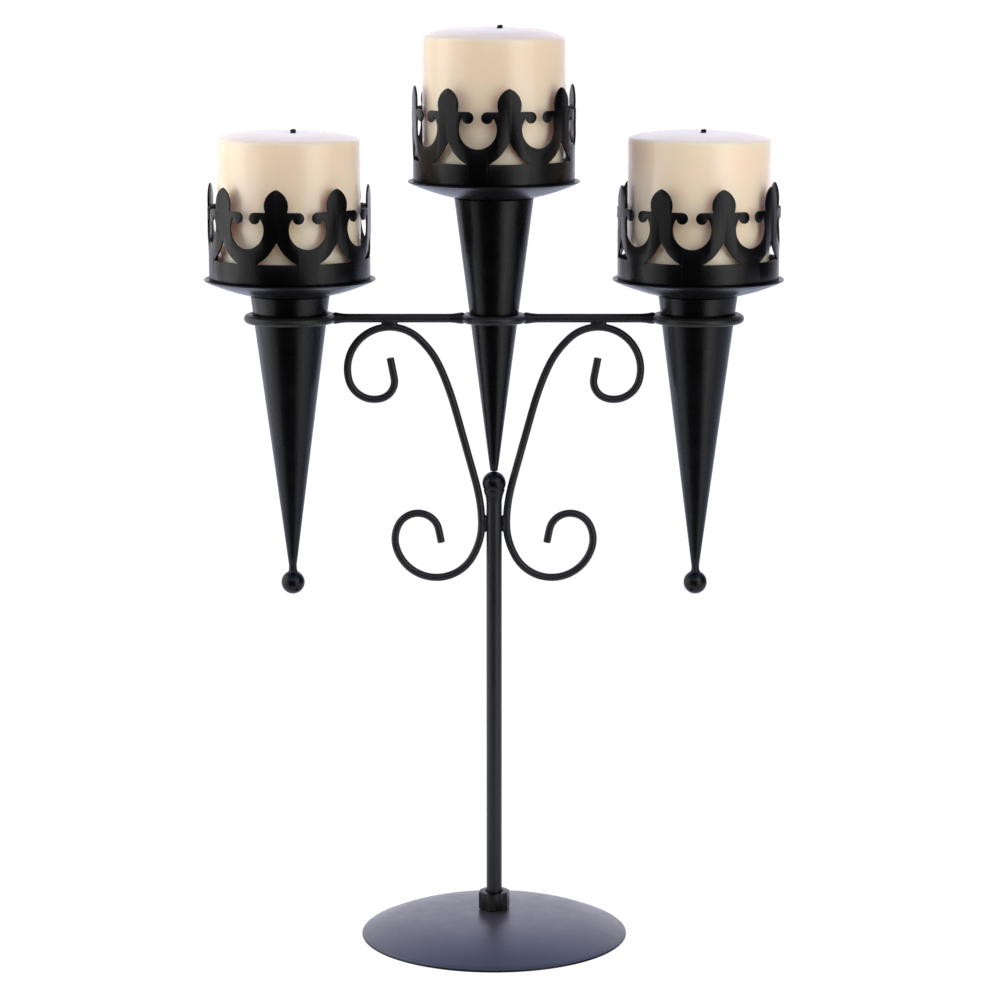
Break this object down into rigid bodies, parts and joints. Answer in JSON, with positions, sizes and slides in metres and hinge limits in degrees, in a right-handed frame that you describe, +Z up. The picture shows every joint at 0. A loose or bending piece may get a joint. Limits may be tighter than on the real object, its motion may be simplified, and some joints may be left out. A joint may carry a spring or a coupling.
{
  "type": "candelabrum",
  "caption": "Table candelabrum: domed base, slim pole with wire scrolls, and a ringed crossbar holding lift-out cone torches with crown cups and pillar candles.",
  "frame": {"origin": "centre of the round base, on the surface it stands on", "axes": "+Z up along the pole, +X along the crossbar to the right torch, -Y towards the front"},
  "size_m": [0.3102, 0.1458, 0.4983],
  "materials": {
    "black_powder_coat": "satin black powder coat",
    "base_powder_coat": "satin black powder coat, slightly slate in a bright room",
    "weld_powder_coat": "powder-coated weld bead",
    "zinc_plate": "zinc-plated fastener",
    "ivory_wax": "smooth ivory wax, slightly translucent",
    "cotton_wick": "braided cotton, charred tip"
  },
  "bodies": {
    "stand": {"base_plate": "base_powder_coat", "base_washer": "zinc_plate", "base_bolt": "zinc_plate", "base_nut": "black_powder_coat", "pole": "black_powder_coat", "pole_ball": "black_powder_coat", "weld_pole_ball": "weld_powder_coat", "crossbar_left": "black_powder_coat", "crossbar_right": "black_powder_coat", "ring_left": "black_powder_coat", "ring_centre": "black_powder_coat", "ring_right": "black_powder_coat", "scroll_left": "black_powder_coat", "scroll_right": "black_powder_coat", "weld_bar_left_centre": "weld_powder_coat", "weld_bar_left_side": "weld_powder_coat", "weld_bar_right_centre": "weld_powder_coat", "weld_bar_right_side": "weld_powder_coat", "weld_scroll_bar_left_front": "weld_powder_coat", "weld_scroll_bar_left_back": "weld_powder_coat", "weld_scroll_pole_left_front": "weld_powder_coat", "weld_scroll_pole_left_back": "weld_powder_coat", "weld_scroll_bar_right_front": "weld_powder_coat", "weld_scroll_bar_right_back": "weld_powder_coat", "weld_scroll_pole_right_front": "weld_powder_coat", "weld_scroll_pole_right_back": "weld_powder_coat"},
    "left_torch": {"torch_cone_left": "black_powder_coat", "drip_pan_left": "black_powder_coat", "crown_left": "black_powder_coat", "finial_ball_left": "black_powder_coat", "weld_finial_left": "weld_powder_coat"},
    "centre_torch": {"torch_cone_centre": "black_powder_coat", "drip_pan_centre": "black_powder_coat", "crown_centre": "black_powder_coat"},
    "right_torch": {"torch_cone_right": "black_powder_coat", "drip_pan_right": "black_powder_coat", "crown_right": "black_powder_coat", "finial_ball_right": "black_powder_coat", "weld_finial_right": "weld_powder_coat"},
    "left_candle": {"candle_left": "ivory_wax", "wick_left": "cotton_wick"},
    "centre_candle": {"candle_centre": "ivory_wax", "wick_centre": "cotton_wick"},
    "right_candle": {"candle_right": "ivory_wax", "wick_right": "cotton_wick"}
  },
  "joints": [
    {"name": "left_torch_lift", "type": "slide", "parent": "stand", "child": "left_torch", "axis": [0, 0, 1], "range_m": [0, 0.16]},
    {"name": "centre_torch_lift", "type": "slide", "parent": "stand", "child": "centre_torch", "axis": [0, 0, 1], "range_m": [0, 0.09]},
    {"name": "right_torch_lift", "type": "slide", "parent": "stand", "child": "right_torch", "axis": [0, 0, 1], "range_m": [0, 0.16]},
    {"name": "left_candle_lift", "type": "slide", "parent": "left_torch", "child": "left_candle", "axis": [0, 0, 1], "range_m": [0, 0.06]},
    {"name": "centre_candle_lift", "type": "slide", "parent": "centre_torch", "child": "centre_candle", "axis": [0, 0, 1], "range_m": [0, 0.06]},
    {"name": "right_candle_lift", "type": "slide", "parent": "right_torch", "child": "right_candle", "axis": [0, 0, 1], "range_m": [0, 0.06]}
  ]
}
